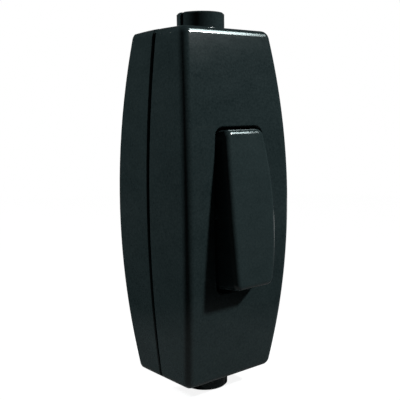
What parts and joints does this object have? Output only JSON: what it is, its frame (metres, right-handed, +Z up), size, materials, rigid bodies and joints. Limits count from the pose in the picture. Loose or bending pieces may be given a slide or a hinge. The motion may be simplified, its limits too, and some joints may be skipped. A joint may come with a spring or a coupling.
{
  "type": "pendant switch",
  "caption": "Pendant cord switch: barrel-shaped split housing with a cord inlet at each end and a long tilting rocker over seesaw contacts.",
  "frame": {"origin": "centre of the top cord inlet's rim, on the cord's axis, which lies in the parting plane of the covers", "axes": "+Z up along the cord, +X to the right when the rocker is seen from the front, the rocker faces -Y"},
  "size_m": [0.033, 0.032, 0.0924],
  "materials": {
    "housing": "satin black moulded plastic",
    "rocker": "satin black moulded plastic",
    "clamp": "matte black moulded plastic",
    "plunger": "natural nylon",
    "brass": "pressed brass",
    "silver": "silver contact rivet",
    "spring": "spring steel wire",
    "screw_steel": "zinc plated steel"
  },
  "bodies": {
    "housing": {"front_cover": "housing", "rear_cover": "housing", "fixed_terminal_left": "brass", "fixed_terminal_right": "brass", "fixed_tip_left": "silver", "fixed_tip_right": "silver", "fulcrum_terminal_left": "brass", "fulcrum_terminal_right": "brass", "terminal_screws": "screw_steel", "earth_connector": "brass", "earth_screws": "screw_steel", "top_cord_clamp": "clamp", "bottom_cord_clamp": "clamp", "clamp_screws": "screw_steel", "housing_screws": "screw_steel"},
    "rocker": {"rocker": "rocker"},
    "plunger_left": {"plunger_left": "plunger", "plunger_spring_left": "spring"},
    "plunger_right": {"plunger_right": "plunger", "plunger_spring_right": "spring"},
    "seesaw_left": {"seesaw_left": "brass", "moving_tip_left": "silver"},
    "seesaw_right": {"seesaw_right": "brass", "moving_tip_right": "silver"}
  },
  "joints": [
    {"name": "rocker_tilt", "type": "hinge", "parent": "housing", "child": "rocker", "pos_m": [0, -0.012, -0.0462], "axis": [1, 0, 0], "range_deg": [0, 11.08]},
    {"name": "plunger_left_slide", "type": "slide", "parent": "rocker", "child": "plunger_left", "axis": [0, -0.9953, 0.0965], "range_m": [0, 0.0003], "stiffness_N_per_m": 400, "springref_m": -0.003},
    {"name": "plunger_right_slide", "type": "slide", "parent": "rocker", "child": "plunger_right", "axis": [0, -0.9953, 0.0965], "range_m": [0, 0.0003], "stiffness_N_per_m": 400, "springref_m": -0.003},
    {"name": "seesaw_left_tilt", "type": "hinge", "parent": "housing", "child": "seesaw_left", "pos_m": [-0.0031, 0.003, -0.0462], "axis": [1, 0, 0], "range_deg": [-17, 0]},
    {"name": "seesaw_right_tilt", "type": "hinge", "parent": "housing", "child": "seesaw_right", "pos_m": [0.0031, 0.003, -0.0462], "axis": [1, 0, 0], "range_deg": [-17, 0]}
  ],
  "couplings": [
    {"joint": "seesaw_left_tilt", "follows": "rocker_tilt", "ratio": -1.534},
    {"joint": "seesaw_right_tilt", "follows": "rocker_tilt", "ratio": -1.534}
  ]
}
